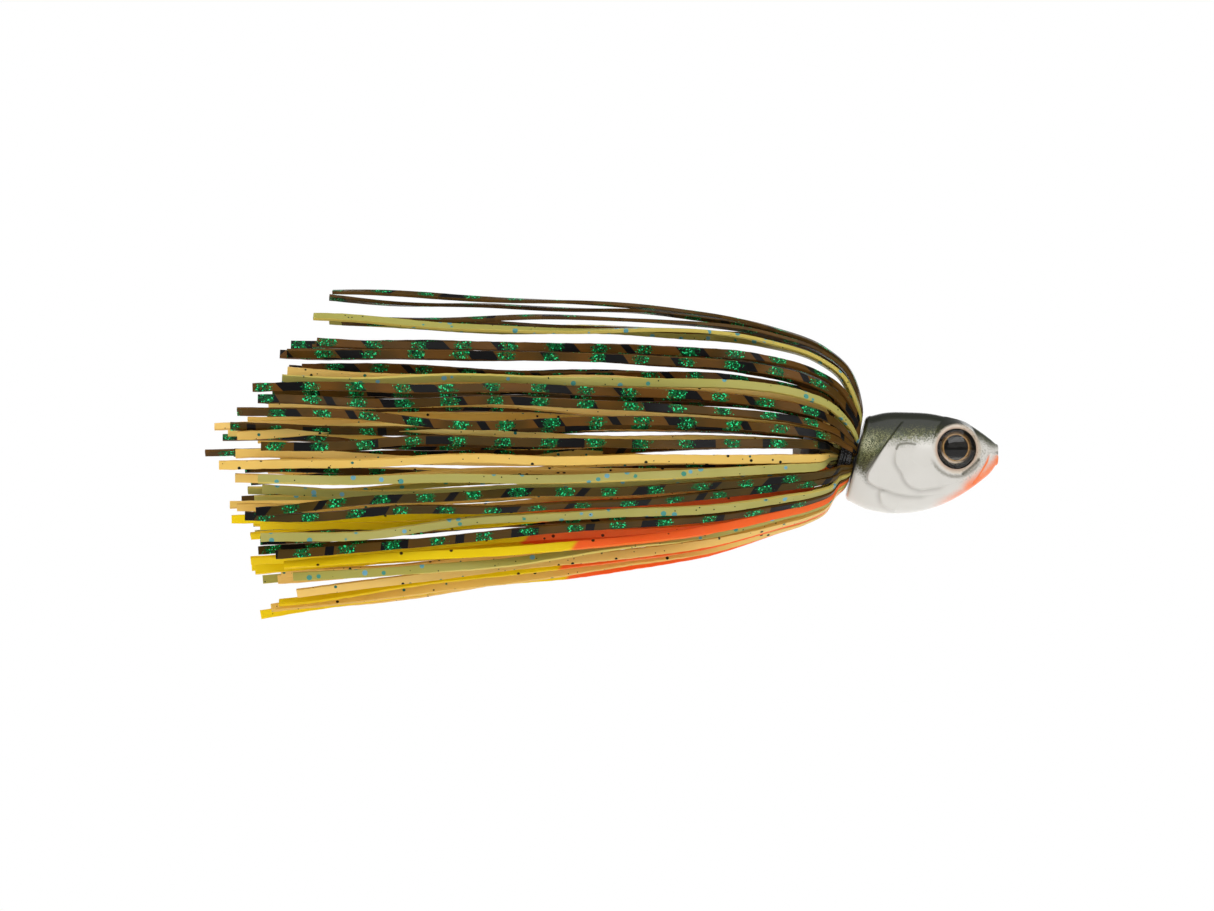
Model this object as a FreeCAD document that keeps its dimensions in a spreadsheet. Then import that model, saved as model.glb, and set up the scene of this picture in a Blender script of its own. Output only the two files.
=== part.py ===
"""Skirted inline fishing-lure head: a painted fish-head weight on a line tube, with a bound silicone skirt.

Part frame: millimetres, origin where the line leaves the mouth, +X forward along the line bore, +Z up, and the
fish's right side towards -Y. Every driving size is a cell of the spreadsheet Sizes.
"""

import FreeCAD, Part
import math
import os

import Sketcher

Vector = FreeCAD.Vector
Rotation = FreeCAD.Rotation
Placement = FreeCAD.Placement

# Head sections from the lips back: position along the bore, top and bottom above it, and half width.
HEAD_SECTIONS = {
    "lips": (0.0, 0.95, -1.50, 1.20),
    "snout": (-1.0, 1.85, -2.95, 2.00),
    "chin": (-2.5, 3.00, -4.30, 2.75),
    "brow": (-4.6, 4.30, -5.85, 3.55),
    "orbit": (-7.0, 5.10, -7.25, 4.30),
    "cheek": (-10.0, 5.80, -8.50, 4.90),
    "crown": (-13.5, 6.04, -9.20, 5.25),
    "gill": (-17.0, 5.98, -9.20, 5.30),
    "nape": (-20.0, 5.30, -8.60, 5.00),
    "stern": (-23.8, 4.60, -6.70, 4.30),
}

SIZES = {
    # middle of the slanted rear face, and its slant from upright
    "rear_x": -21.6,
    "rear_z": -1.0,
    "rear_slant": 14.2,
    # neck that stands square on the rear face, and the flange that keeps the skirt on it
    "neck_radius": 2.2,
    "neck_length": 7.0,
    "flange_radius": 2.9,
    "flange_length": 1.3,
    # line tube
    "bore_radius": 0.9,
    "tube_inner": 0.6,
    "tube_length": 31.0,
    # eyes, turned a little forward
    "eye_x": -6.6,
    "eye_y": 4.1,
    "eye_z": 0.5,
    "eye_toe": 12,
    "eye_radius": 2.95,
    "boss_radius": 3.65,
    "boss_flare": 0.6,
    "boss_root": 1.6,
    "boss_height": 0.2,
    "socket_depth": 0.35,
    "socket_play": 0.05,
    "foil_thick": 0.15,
    "lens_rim": 0.3,
    "lens_dome": 0.95,
    # gathered middle of the strands round the neck, and the thread round it: distances behind the rear face
    "roots_gap": 0.3,
    "roots_length": 5.3,
    "roots_radius": 4.1,
    "waist_radius": 3.4,
    "waist_start": 0.7,
    "thread_turns": 5,
    "thread_radius": 0.2,
    # strands, which turn on a ring round the gathered middle
    "strand_width": 1.25,
    "strand_thick": 0.6,
    "ring_distance": 3.0,
    "ring_radius": 5.9,
}

# Where an outer strand runs after its root, at the top, side and bottom of the skirt: (along, away from the bore).
TOP_RUN = (
    (-21.4, 6.9), (-21.2, 9.0), (-22.6, 12.2), (-26.0, 15.2), (-34.0, 18.3), (-50.0, 20.9), (-75.0, 22.3), (-102.5, 23.3)
)
SIDE_RUN = (
    (-24.2, 6.8), (-25.1, 8.4), (-27.6, 10.0), (-32.0, 11.4), (-40.0, 12.6), (-56.0, 13.6), (-84.0, 14.4), (-115.5, 15.0)
)
BOTTOM_RUN = (
    (-25.0, 7.3), (-26.4, 9.2), (-29.0, 10.6), (-33.5, 12.0), (-42.0, 14.4), (-60.0, 17.4), (-84.0, 20.4), (-110.0, 23.5)
)

# The three layers of a bundle: how far behind the outer layer it runs, its share of the outer layer's spread, how
# far inside the outer layer its roots lie, and the first point of the run that it takes. The outer layer folds
# forward over the thread, and the others leave straight back under it.
LAYERS = {"outer": (0.0, 1.0, 0.0, 0), "middle": (1.3, 0.70, 0.7, 2), "inner": (2.6, 0.42, 1.4, 2)}

# Each bundle of strands: its angle round the skirt from the top, and its strands as (colour, layer, angle from the
# bundle's middle). The same bundle is made on the right and on the left.
BUNDLES = {
    "top": (15.0, (
        ("barred", "outer", -9.5), ("barred", "outer", 0.0), ("olive", "outer", 9.5), ("barred", "middle", 0.0))),
    "upper": (45.0, (
        ("barred", "outer", -9.5), ("barred", "outer", 0.0), ("olive", "outer", 9.5),
        ("barred", "middle", -6.0), ("amber", "middle", 6.0), ("barred", "inner", 0.0))),
    "high_side": (75.0, (
        ("barred", "outer", -10.2), ("barred", "outer", -3.4), ("barred", "outer", 3.4), ("barred", "outer", 10.2),
        ("amber", "middle", -7.5), ("barred", "middle", 0.0), ("amber", "middle", 7.5),
        ("amber", "inner", -6.0), ("barred", "inner", 6.0))),
    "low_side": (105.0, (
        ("amber", "outer", -10.2), ("olive", "outer", -3.4), ("barred", "outer", 3.4), ("barred", "outer", 10.2),
        ("amber", "middle", -7.5), ("amber", "middle", 0.0), ("olive", "middle", 7.5), ("barred", "inner", 0.0))),
    "lower": (135.0, (
        ("olive", "outer", -10.2), ("barred", "outer", -3.4), ("two_tone", "outer", 3.4), ("olive", "outer", 10.2),
        ("two_tone", "middle", -7.5), ("two_tone", "middle", 0.0), ("barred", "middle", 7.5),
        ("amber", "inner", 0.0))),
    "belly": (165.0, (
        ("amber", "outer", -10.2), ("two_tone", "outer", -3.4), ("amber", "outer", 3.4), ("two_tone", "outer", 10.2),
        ("two_tone", "middle", -7.5), ("two_tone", "middle", 0.0), ("amber", "middle", 7.5))),
}
STRAND_PITCH_DEG = 6.8
CROWDED_SHARE = 0.66  # of its pitch that a strand's width takes where the strands crowd together

UP = Vector(0, 0, 1)
BACKWARD = Rotation(Vector(0, -1, 0), 90)  # a cylinder's axis along -X
FAR = 40  # longer than the head, for cutting tools
SIDES = {"right": -1, "left": 1}


def make_sheet(doc):
    """The spreadsheet of driving sizes, one aliased cell each."""
    sheet = doc.addObject("Spreadsheet::Sheet", "Sizes")
    cells = dict(SIZES)
    for name, values in HEAD_SECTIONS.items():
        for word, value in zip(("at", "top", "bottom", "half"), values):
            cells[f"{name}_{word}"] = value
    for row, (alias, value) in enumerate(cells.items(), start=1):
        sheet.set(f"A{row}", alias)
        sheet.set(f"B{row}", str(value))
        sheet.setAlias(f"B{row}", alias)
    doc.recompute()
    return sheet


def bind(obj, **expressions):
    """Binds an object's properties to expressions. Two underscores in a keyword stand for a dot."""
    for prop, text in expressions.items():
        obj.setExpression(prop.replace("__", "."), text)
    return obj


def fuse(doc, name, shapes):
    obj = doc.addObject("Part::MultiFuse", name)
    obj.Shapes = shapes
    return obj


def cut(doc, name, base, tool):
    obj = doc.addObject("Part::Cut", name)
    obj.Base = base
    obj.Tool = tool
    return obj


def place_on_bore(obj, x="0"):
    """Stands an object at x on the bore axis, its own axis pointing back."""
    obj.Placement = Placement(Vector(0, 0, 0), BACKWARD)
    return bind(obj, Placement__Base__x=x)


def place_behind(obj, distance, axis=Vector(0, -1, 0), turn="90 - Sizes.rear_slant"):
    """Puts an object at a distance square behind the rear face's middle. As turned here, its own axis points back."""
    obj.Placement = Placement(Vector(0, 0, 0), Rotation(axis, 1))
    return bind(
        obj,
        Placement__Rotation__Angle=turn,
        Placement__Base__x=f"Sizes.rear_x - ({distance}) * cos(Sizes.rear_slant)",
        Placement__Base__z=f"Sizes.rear_z + ({distance}) * sin(Sizes.rear_slant)",
    )


def place_in_eye(obj, sheet, side, height):
    """Puts an object on an eye's axis, at a height out from the head's surface, its own axis pointing out."""
    hand = SIDES[side]
    toe = math.radians(sheet.eye_toe)
    obj.Placement = Placement(Vector(0, 0, 0), Rotation(UP, Vector(math.sin(toe), hand * math.cos(toe), 0)))
    return bind(
        obj,
        Placement__Base__x=f"Sizes.eye_x + ({height}) * sin(Sizes.eye_toe)",
        Placement__Base__y=f"{hand} * (Sizes.eye_y + ({height}) * cos(Sizes.eye_toe))",
        Placement__Base__z="Sizes.eye_z",
    )


def head_blank(doc):
    """The fish-head body: a smooth loft through upright ellipses, before its rear is cut."""
    sections = []
    for name in HEAD_SECTIONS:
        ellipse = place_on_bore(doc.addObject("Part::Ellipse", f"section_{name}"), f"Sizes.{name}_at")
        bind(
            ellipse,
            MajorRadius=f"(Sizes.{name}_top - Sizes.{name}_bottom) / 2",
            MinorRadius=f"Sizes.{name}_half",
            Placement__Base__z=f"(Sizes.{name}_top + Sizes.{name}_bottom) / 2",
        )
        sections.append(ellipse)
    loft = doc.addObject("Part::Loft", "head_loft")
    loft.Sections = sections
    loft.Solid = True
    return loft


def rear_cutter(doc):
    """A block whose front is the slanted rear face."""
    block = doc.addObject("Part::Box", "rear_cutter")
    block.Length, block.Width, block.Height = FAR, FAR, FAR
    place_behind(block, FAR, axis=Vector(0, 1, 0), turn="Sizes.rear_slant")
    return bind(
        block,
        Placement__Base__x=f"Sizes.rear_x - {FAR} * cos(Sizes.rear_slant) - {FAR / 2} * sin(Sizes.rear_slant)",
        Placement__Base__y=f"-{FAR / 2}",
        Placement__Base__z=f"Sizes.rear_z + {FAR} * sin(Sizes.rear_slant) - {FAR / 2} * cos(Sizes.rear_slant)",
    )


def make_head(doc, sheet):
    """The cast head with its neck and flange, its eye bosses and sockets, and the bore for the line tube."""
    body = cut(doc, "head_body", head_blank(doc), rear_cutter(doc))
    neck = place_behind(doc.addObject("Part::Cylinder", "neck"), "-2")
    bind(neck, Radius="Sizes.neck_radius", Height="Sizes.neck_length + 2")
    flange = place_behind(doc.addObject("Part::Cone", "flange"), "Sizes.neck_length")
    bind(flange, Radius1="Sizes.flange_radius", Radius2="Sizes.neck_radius", Height="Sizes.flange_length")
    bosses, hollows = [], []
    for side in SIDES:
        boss = place_in_eye(doc.addObject("Part::Cone", f"boss_{side}"), sheet, side, "-Sizes.boss_root")
        bind(
            boss,
            Radius1="Sizes.boss_radius + Sizes.boss_flare",
            Radius2="Sizes.boss_radius",
            Height="Sizes.boss_root + Sizes.boss_height",
        )
        bosses.append(boss)
        socket = place_in_eye(doc.addObject("Part::Cylinder", f"socket_{side}"), sheet, side, "-Sizes.socket_depth")
        bind(socket, Radius="Sizes.eye_radius + Sizes.socket_play", Height=str(FAR))
        hollows.append(socket)
    bore = place_on_bore(doc.addObject("Part::Cylinder", "bore"), "1")
    hollows.append(bind(bore, Radius="Sizes.bore_radius", Height=str(FAR)))
    solid = fuse(doc, "head_solid", [body, neck, flange, *bosses])
    return cut(doc, "head_casting", solid, fuse(doc, "head_hollows", hollows))


def make_tube(doc):
    """The plastic line tube that lines the bore, flush at the mouth and proud behind the flange."""
    outside = place_on_bore(doc.addObject("Part::Cylinder", "tube_outside"))
    bind(outside, Radius="Sizes.bore_radius", Height="Sizes.tube_length")
    inside = place_on_bore(doc.addObject("Part::Cylinder", "tube_inside"), "1")
    bind(inside, Radius="Sizes.tube_inner", Height="Sizes.tube_length + 2")
    return cut(doc, "line_tube", outside, inside)


def make_eye(doc, sheet, side):
    """A printed foil disc on the socket's floor, and the clear domed lens on it."""
    foil = place_in_eye(doc.addObject("Part::Cylinder", f"eye_foil_{side}"), sheet, side, "-Sizes.socket_depth")
    bind(foil, Radius="Sizes.eye_radius", Height="Sizes.foil_thick")
    seat = "Sizes.foil_thick - Sizes.socket_depth"
    blank = place_in_eye(doc.addObject("Part::Cylinder", f"lens_blank_{side}"), sheet, side, seat)
    bind(blank, Radius="Sizes.eye_radius", Height="Sizes.lens_rim + Sizes.lens_dome")
    ball_radius = "(Sizes.eye_radius ^ 2 + Sizes.lens_dome ^ 2) / (2 * Sizes.lens_dome)"
    ball = doc.addObject("Part::Sphere", f"lens_ball_{side}")
    place_in_eye(ball, sheet, side, f"{seat} + Sizes.lens_rim + Sizes.lens_dome - {ball_radius}")
    bind(ball, Radius=ball_radius)
    lens = doc.addObject("Part::Common", f"eye_lens_{side}")
    lens.Base = blank
    lens.Tool = ball
    return foil, lens


def make_roots(doc):
    """The gathered middle of all the strands round the neck: a turned profile, waisted under the thread."""
    body = doc.addObject("PartDesign::Body", "strand_roots")
    place_behind(body, "0", axis=Vector(0, 1, 0), turn="Sizes.rear_slant")
    plane = next(feature for feature in body.Origin.OriginFeatures if feature.Role == "XZ_Plane")
    sketch = body.newObject("Sketcher::SketchObject", "roots_profile")
    sketch.AttachmentSupport = [(plane, "")]
    sketch.MapMode = "FlatFace"
    front = "-Sizes.roots_gap"
    back = "-(Sizes.roots_gap + Sizes.roots_length)"
    waist_back = "-(Sizes.waist_start + 2 * Sizes.thread_turns * Sizes.thread_radius)"
    corners = (
        (-0.3, 2.2, front, "Sizes.neck_radius"),
        (-0.3, 3.4, front, "Sizes.waist_radius"),
        (-2.7, 3.4, waist_back, "Sizes.waist_radius"),
        (-3.4, 4.1, f"{waist_back} + Sizes.waist_radius - Sizes.roots_radius", "Sizes.roots_radius"),
        (-4.9, 4.1, f"{back} + 0.7", "Sizes.roots_radius"),
        (-5.6, 3.4, back, "Sizes.roots_radius - 0.7"),
        (-5.6, 2.2, back, "Sizes.neck_radius"),
    )
    count = len(corners)
    points = [Vector(x, z, 0) for x, z, along_text, out_text in corners]
    for i, point in enumerate(points):
        sketch.addGeometry(Part.LineSegment(point, points[(i + 1) % count]), False)
    for i, (x, z, along_text, out_text) in enumerate(corners):
        sketch.addConstraint(Sketcher.Constraint("Coincident", i, 2, (i + 1) % count, 1))
        along = sketch.addConstraint(Sketcher.Constraint("DistanceX", -1, 1, i, 1, x))
        out = sketch.addConstraint(Sketcher.Constraint("DistanceY", -1, 1, i, 1, z))
        sketch.setExpression(f"Constraints[{along}]", along_text)
        sketch.setExpression(f"Constraints[{out}]", out_text)
    turned = body.newObject("PartDesign::Revolution", "roots_turned")
    turned.Profile = sketch
    turned.ReferenceAxis = (sketch, ["H_Axis"])
    turned.Angle = 360
    body.Tip = turned
    return body


def make_thread(doc, sheet):
    """The thread wound round the strands: touching turns that rest on the waist."""
    turns = []
    for i in range(int(sheet.thread_turns)):
        distance = f"Sizes.waist_start + {2 * i + 1} * Sizes.thread_radius"
        ring = place_behind(doc.addObject("Part::Torus", f"thread_turn_{i + 1}"), distance)
        bind(ring, Radius1="Sizes.waist_radius + Sizes.thread_radius", Radius2="Sizes.thread_radius * 1.02")
        turns.append(ring)
    return fuse(doc, "binding_thread", turns)


def strand_points(sheet, angle, layer):
    """The strand's centre points from root to tip. The angle goes round the skirt from the top to the right."""
    behind, share, sunk, first = LAYERS[layer]
    slant = math.radians(sheet.rear_slant)
    ring = Vector(
        sheet.rear_x - sheet.ring_distance * math.cos(slant), 0, sheet.rear_z + sheet.ring_distance * math.sin(slant)
    )
    upward = Vector(math.sin(slant), 0, math.cos(slant))
    backward = Vector(-math.cos(slant), 0, math.sin(slant))
    rightward = Vector(0, -1, 0)
    outward = upward * math.cos(angle) + rightward * math.sin(angle)
    root = ring + backward * behind + outward * (sheet.ring_radius - sunk)
    flank = math.sin(angle) ** 2
    points = [root]
    ends = TOP_RUN if math.cos(angle) > 0 else BOTTOM_RUN
    for end, side in list(zip(ends, SIDE_RUN))[first:]:
        along = end[0] * (1 - flank) + side[0] * flank
        outer = Vector(along, -side[1] * math.sin(angle), end[1] * math.cos(angle))
        folded = Vector(along, root.y, root.z)
        points.append(folded + (outer - folded) * share - Vector(behind, 0, 0))
    return points


def strand_solid(sheet, angle_deg, layer):
    """One flat strand: a ruled loft through rectangles across its run, broad side outward."""
    angle = math.radians(angle_deg)
    points = strand_points(sheet, angle, layer)
    axis = Vector(1, 0, 0)
    wires = []
    for i, point in enumerate(points):
        run = (points[min(i + 1, len(points) - 1)] - points[max(i - 1, 0)]).normalize()
        radial = Vector(0, point.y, point.z).normalize()
        across = radial.cross(axis)
        across = (across - run * across.dot(run)).normalize()
        outward = across.cross(run).normalize()
        room = math.hypot(point.y, point.z) * math.radians(STRAND_PITCH_DEG) * CROWDED_SHARE
        half_width = min(sheet.strand_width, room) / 2
        half_thick = sheet.strand_thick / 2
        corners = [
            point + across * (half_width * a) + outward * (half_thick * b)
            for a, b in ((-1, -1), (1, -1), (1, 1), (-1, 1))
        ]
        wires.append(Part.makePolygon([*corners, corners[0]]))
    return Part.makeLoft(wires, True, True)


def make_strands(doc, sheet):
    """Every bundle's strands, one node for each colour in a bundle."""
    nodes = []
    for side, hand in SIDES.items():
        for place, (middle, strands) in BUNDLES.items():
            for kind in dict.fromkeys(colour for colour, layer, offset in strands):
                solids = [
                    strand_solid(sheet, -hand * (middle + offset), layer)
                    for colour, layer, offset in strands
                    if colour == kind
                ]
                node = doc.addObject("Part::Feature", f"{kind}_strands_{side}_{place}")
                node.Shape = solids[0] if len(solids) == 1 else Part.makeCompound(solids)
                nodes.append(node)
    return nodes


def check(doc, nodes):
    """Stops the build if any object failed or any sub-part is empty or invalid."""
    doc.recompute()
    for obj in doc.Objects:
        bad = {"Invalid", "Error"} & set(obj.State)
        if bad:
            raise RuntimeError(f"{obj.Name} is {sorted(bad)}")
    for node in nodes:
        if node.Shape.isNull() or not node.Shape.isValid() or node.Shape.Volume <= 0:
            raise RuntimeError(f"{node.Name} has no valid solid")


def main():
    doc = FreeCAD.newDocument("skirted_head")
    sheet = make_sheet(doc)
    nodes = [make_head(doc, sheet), make_tube(doc)]
    for side in SIDES:
        nodes += make_eye(doc, sheet, side)
    nodes += [make_roots(doc), make_thread(doc, sheet)]
    nodes += make_strands(doc, sheet)
    check(doc, nodes)
    os.makedirs("parts", exist_ok=True)
    for node in nodes:
        node.Label = node.Name
        node.Shape.exportStep(f"parts/{node.Label}.step")
        print(f"{node.Label}: {len(node.Shape.Solids)} solids, {node.Shape.Volume:.2f} mm3")


main()
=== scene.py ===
"""Looks of the skirted inline fishing-lure head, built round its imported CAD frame.

Scene frame: metres, origin where the line leaves the mouth, +X forward, +Z up, the fish's right side towards -Y.
Shapes are worked out in millimetres, as in the CAD source, and turned into metres when their meshes are made.
"""

import math

import bmesh
import bpy
import numpy as np
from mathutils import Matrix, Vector


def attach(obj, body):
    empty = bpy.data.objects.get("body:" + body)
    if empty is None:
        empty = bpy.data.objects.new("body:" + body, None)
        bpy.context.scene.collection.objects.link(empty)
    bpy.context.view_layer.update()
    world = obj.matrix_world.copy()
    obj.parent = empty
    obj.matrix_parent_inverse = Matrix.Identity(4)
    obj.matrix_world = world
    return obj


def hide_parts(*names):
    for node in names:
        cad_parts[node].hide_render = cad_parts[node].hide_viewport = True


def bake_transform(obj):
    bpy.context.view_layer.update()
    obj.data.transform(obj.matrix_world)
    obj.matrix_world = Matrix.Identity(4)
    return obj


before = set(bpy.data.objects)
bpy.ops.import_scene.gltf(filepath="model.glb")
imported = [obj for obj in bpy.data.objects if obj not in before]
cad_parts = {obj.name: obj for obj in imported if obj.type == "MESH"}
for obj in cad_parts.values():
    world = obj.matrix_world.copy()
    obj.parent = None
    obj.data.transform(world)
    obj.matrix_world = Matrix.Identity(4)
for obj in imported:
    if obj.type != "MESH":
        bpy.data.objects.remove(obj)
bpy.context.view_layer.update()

MM = 0.001
TURN = 2 * math.pi
SIDES = {"right": -1, "left": 1}

# Head sections from the lips back: position, top, bottom, half width.
HEAD_SECTIONS = np.array([
    (0.0, 0.95, -1.50, 1.20),
    (-1.0, 1.85, -2.95, 2.00),
    (-2.5, 3.00, -4.30, 2.75),
    (-4.6, 4.30, -5.85, 3.55),
    (-7.0, 5.10, -7.25, 4.30),
    (-10.0, 5.80, -8.50, 4.90),
    (-13.5, 6.04, -9.20, 5.25),
    (-17.0, 5.98, -9.20, 5.30),
    (-20.0, 5.30, -8.60, 5.00),
    (-23.8, 4.60, -6.70, 4.30),
])
REAR = np.array([-21.6, 0.0, -1.0])
REAR_SLANT = math.radians(14.2)
BEHIND = np.array([-math.cos(REAR_SLANT), 0.0, math.sin(REAR_SLANT)])
ABOVE = np.array([math.sin(REAR_SLANT), 0.0, math.cos(REAR_SLANT)])
RIGHTWARD = np.array([0.0, -1.0, 0.0])
NECK_RADIUS = 2.2
NECK_LENGTH = 7.0
FLANGE_RADIUS = 2.9
FLANGE_LENGTH = 1.3
BORE_RADIUS = 0.92
TUBE_OUTER = 0.9
TUBE_INNER = 0.6
TUBE_LENGTH = 31.0
NOSE_ROUND = 0.35
REAR_ROUND = 0.8
HEAD_MIDDLE = (-11.0, 0.0, -1.5)
HEAD_COLUMNS = 360
HEAD_ROWS = 200
HEAD_CROWDING = 1.12  # above 1, the rings lie closer together towards the nose

EYE_CENTRE = (-6.6, 4.1, 0.5)
EYE_TOE = math.radians(12)
EYE_RADIUS = 2.95
PUPIL_RAISE = 0.2
LENS_RIM = 0.3
LENS_DOME = 0.95
BOSS_RADIUS = 3.65
BOSS_FOOT = 4.35
BOSS_HEIGHT = 0.2
BOSS_BEVEL = 0.10
BOSS_SLOPE = 1.5
SOCKET_DEPTH = 0.35
FOIL_THICK = 0.12
EYE_STEPS = 96
AXIS_GAP = 0.02  # radius of the small ring that closes a disc at its middle

# Lines cast into the head's sides, seen from the side: (along, up), from the top or front of each line on.
GILL_LINE = ((-14.4, 4.95), (-17.2, 1.21), (-19.3, -2.05), (-20.0, -3.35), (-20.0, -4.16), (-19.3, -4.81),
             (-17.65, -5.46), (-15.7, -6.11), (-12.8, -6.52), (-10.2, -6.44))
CHEEK_LINE = ((-12.4, 1.12), (-14.4, 1.29), (-15.4, 1.04), (-15.8, 0.07), (-15.8, -1.72), (-15.0, -3.0),
              (-14.1, -4.65), (-12.4, -5.46), (-10.3, -5.38), (-7.9, -4.89))
FIN_LINE = ((-18.2, -5.62), (-18.1, -6.6), (-17.65, -7.74), (-16.5, -8.55), (-15.4, -8.96))
MOUTH_LINE = ((0.2, -0.1), (-1.2, -0.1), (-1.9, -1.6), (-2.7, -3.0), (-3.5, -4.3), (-4.15, -5.06))
CHEEK_GROOVE = ((-2.85, -0.75), (-3.9, -1.9), (-5.94, -3.51))
CREST_LINE = ((-6.6, 4.95), (-8.2, 4.55), (-9.84, 3.81))
STROKE_TAPER = 0.1

# Strand runs and bundles, as in the CAD source.
TOP_RUN = ((-21.4, 6.9), (-21.2, 9.0), (-22.6, 12.2), (-26.0, 15.2), (-34.0, 18.3), (-50.0, 20.9), (-75.0, 22.3),
           (-102.5, 23.3))
SIDE_RUN = ((-24.2, 6.8), (-25.1, 8.4), (-27.6, 10.0), (-32.0, 11.4), (-40.0, 12.6), (-56.0, 13.6), (-84.0, 14.4),
            (-115.5, 15.0))
BOTTOM_RUN = ((-25.0, 7.3), (-26.4, 9.2), (-29.0, 10.6), (-33.5, 12.0), (-42.0, 14.4), (-60.0, 17.4),
              (-84.0, 20.4), (-110.0, 23.5))
# Layers of strands: how far behind the outer one, share of its bulge, how far sunk, first point of the run.
LAYERS = {"outer": (0.0, 1.0, 0.0, 0), "middle": (1.3, 0.70, 0.7, 2), "inner": (2.6, 0.42, 1.4, 2)}
# Bundles: the angle of the middle from the top, then the looks of each layer's strands from the top on.
BUNDLES = {
    "top": (15.0, "barred barred olive", "barred", ""),
    "upper": (45.0, "barred barred olive", "barred amber", "barred"),
    "high_side": (75.0, "barred barred barred barred", "amber barred amber", "amber barred"),
    "low_side": (105.0, "amber olive barred barred", "amber amber olive", "barred"),
    "lower": (135.0, "olive barred two_tone olive", "two_tone two_tone barred", "amber"),
    "belly": (165.0, "amber two_tone amber two_tone", "two_tone two_tone amber", ""),
}
# Half the angle that a layer of a bundle takes up, by layer and number of strands.
HALF_SPREADS = {("outer", 4): 10.2, ("outer", 3): 9.5, ("middle", 3): 7.5, ("middle", 2): 6.0, ("inner", 2): 6.0}
RING_DISTANCE = 3.0
RING_RADIUS = 5.9
STRAND_WIDTH = 1.32
STRAND_THICK = 0.55
STRAND_PITCH = math.radians(6.8)
STRAND_STEPS = 120
STRAND_CROWDING = 1.35  # above 1, a strand's steps lie closer together towards its root
STRAND_BEVEL = 0.07
LENGTH_SPREAD = (-6.0, 1.5)
# Where strands leave the binding: distances behind the head's rear face, and out from the neck's axis.
OUTER_START, OUTER_SHOULDER = (0.45, 3.0), (0.6, 4.5)
SIDE_START, SIDE_SHOULDER = (3.0, 3.3), (3.9, 4.9)
INNER_START = (3.1, 3.2)
# Outer strands between these angles from the top start behind the thread and leave it in view.
THREAD_SHOWS_FROM, THREAD_SHOWS_TO = 84, 104
# The left side's bundles beyond this angle from the top hang a little lower than the right side's.
LEFT_DROP, LEFT_DROP_FROM = 0.55, 60
# The tips' fan, seen from the side: its top and bottom, how thin it is at its top, and how evenly it spreads.
FAN_TOP = 23.6
FAN_BOTTOM = -23.6
FAN_THIN = 0.1
FAN_THIN_DEPTH = 0.06
FAN_SHARE = 0.85
# Strands near the top cling together in clumps: spacing, the height of one clump, and how far strands draw to it.
CLUMP_SPACING = 4.3
CLUMP_HEIGHT = 19.75
CLUMP_PULL = 0.6
ROOTS_GAP = 0.3
WAIST_START = 0.7
WAIST_LENGTH = 2.0
WAIST_RADIUS = 3.4
ROOTS_RADIUS = 4.1
ROOTS_LENGTH = 5.3
STRAND_COUNT = 42
THREAD_RADIUS = 0.13
THREAD_TURNS = 17
# Patterns: speckle and flakes to the metre of paint, then bars, glitter and colour change in mm along a strand.
SPRAY_SCALE = 3900.0
FLAKE_SCALE = 9500.0
BAR_REPEAT = 19.4
PATCH_REPEAT = 6.75
COLOUR_CHANGE = (42.0, 50.0)


# ---------------------------------------------------------------- shapes


def smooth_step(low, high, value):
    """0 below low, 1 above high, and a smooth rise between them."""
    t = np.clip((value - low) / (high - low), 0, 1)
    return t * t * (3 - 2 * t)


def unit(vectors):
    return vectors / np.linalg.norm(vectors, axis=-1, keepdims=True)


def round_angles(count):
    return np.linspace(0, TURN, count, endpoint=False)


def run_lengths(points):
    """Distance of each point from the first one, along the line through them."""
    return np.r_[0, np.cumsum(np.linalg.norm(np.diff(points, axis=0), axis=1))]


def outward(angle):
    """Direction out of the neck at an angle round from the top to the right."""
    return np.cos(angle)[..., None] * ABOVE + np.sin(angle)[..., None] * RIGHTWARD


def wave(at, length, rng):
    """A wave along a run, starting anywhere in its turn."""
    return np.sin(at * TURN / length + rng.uniform(0, 6.28))


def hermite(knots, values, at):
    """Smooth curve through values at rising knots, read at the places at."""
    slopes = np.gradient(values, knots, axis=0)
    i = np.clip(np.searchsorted(knots, at) - 1, 0, len(knots) - 2)
    gap = (knots[i + 1] - knots[i])[:, None]
    t = ((at - knots[i])[:, None]) / gap
    return (
        (2 * t**3 - 3 * t**2 + 1) * values[i]
        + (t**3 - 2 * t**2 + t) * gap * slopes[i]
        + (3 * t**2 - 2 * t**3) * values[i + 1]
        + (t**3 - t**2) * gap * slopes[i + 1]
    )


def grid_faces(rows, columns, wrap_rows=False):
    """Quads between rows of a grid whose columns wrap round."""
    faces = []
    for i in range(rows if wrap_rows else rows - 1):
        k = (i + 1) % rows
        for j in range(columns):
            n = (j + 1) % columns
            faces.append((i * columns + j, i * columns + n, k * columns + n, k * columns + j))
    return faces


def capped_faces(rows, columns):
    """Quads of a grid whose columns wrap round, and a flat face over each open end."""
    last = (rows - 1) * columns
    return [*grid_faces(rows, columns), tuple(range(columns))[::-1], tuple(range(last, last + columns))]


def make_piece(name, points_mm, faces, material, attributes=None, crisp=False):
    """A smooth-shaded mesh object from points in millimetres. Attributes are numbers or vectors, one per point."""
    mesh = bpy.data.meshes.new(name)
    mesh.from_pydata((np.asarray(points_mm) * MM).tolist(), [], faces)
    mesh.shade_smooth()
    if crisp:
        mesh.set_sharp_from_angle(angle=math.radians(30))
    for key, values in (attributes or {}).items():
        values = np.asarray(values, np.float32)
        kind, field = ("FLOAT", "value") if values.ndim == 1 else ("FLOAT_VECTOR", "vector")
        mesh.attributes.new(key, kind, "POINT").data.foreach_set(field, values.ravel())
    mesh.validate()
    skin = bmesh.new()
    skin.from_mesh(mesh)
    bmesh.ops.recalc_face_normals(skin, faces=skin.faces)
    skin.to_mesh(mesh)
    skin.free()
    piece = bpy.data.objects.new(name, mesh)
    bpy.context.scene.collection.objects.link(piece)
    piece.data.materials.append(material)
    return piece


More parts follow.
